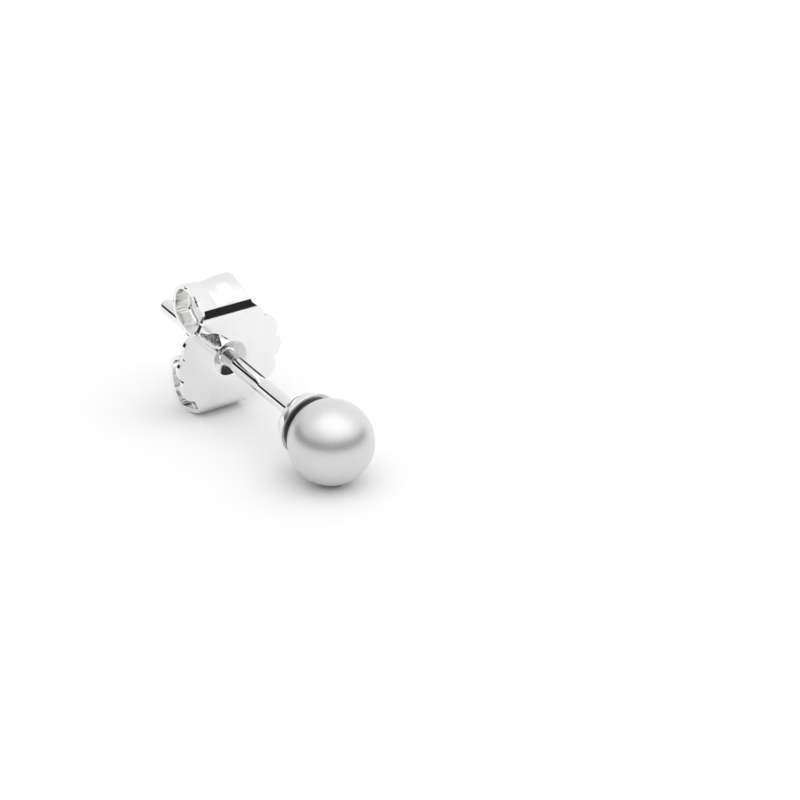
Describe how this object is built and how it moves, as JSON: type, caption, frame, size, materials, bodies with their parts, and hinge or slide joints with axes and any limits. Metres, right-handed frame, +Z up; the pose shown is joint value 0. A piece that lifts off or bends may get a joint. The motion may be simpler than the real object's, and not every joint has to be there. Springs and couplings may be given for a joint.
{
  "type": "stud earring",
  "caption": "Stud earring with a round white pearl on a dished cup and straight post, held by a pressed butterfly clutch with scalloped wings and rolled tabs.",
  "frame": {"origin": "on the surface the earring lies on, under the middle of its bounding box", "axes": "+Y along the post seen from above, from the pearl to the post's tip; +Z up; +X across"},
  "size_m": [0.0054, 0.0154, 0.0062],
  "materials": {
    "nacre": "pearly, soft gloss",
    "silver": "polished",
    "sheet_silver": "polished, lightly rubbed"
  },
  "bodies": {
    "stud": {"pearl": "nacre", "post_and_cup": "silver"},
    "clutch": {"clutch_back": "sheet_silver"}
  },
  "joints": [
    {"name": "clutch_slide", "type": "slide", "parent": "stud", "child": "clutch", "axis": [0, 0.9928, 0.1198], "range_m": [-0.0056, 0.006]}
  ]
}
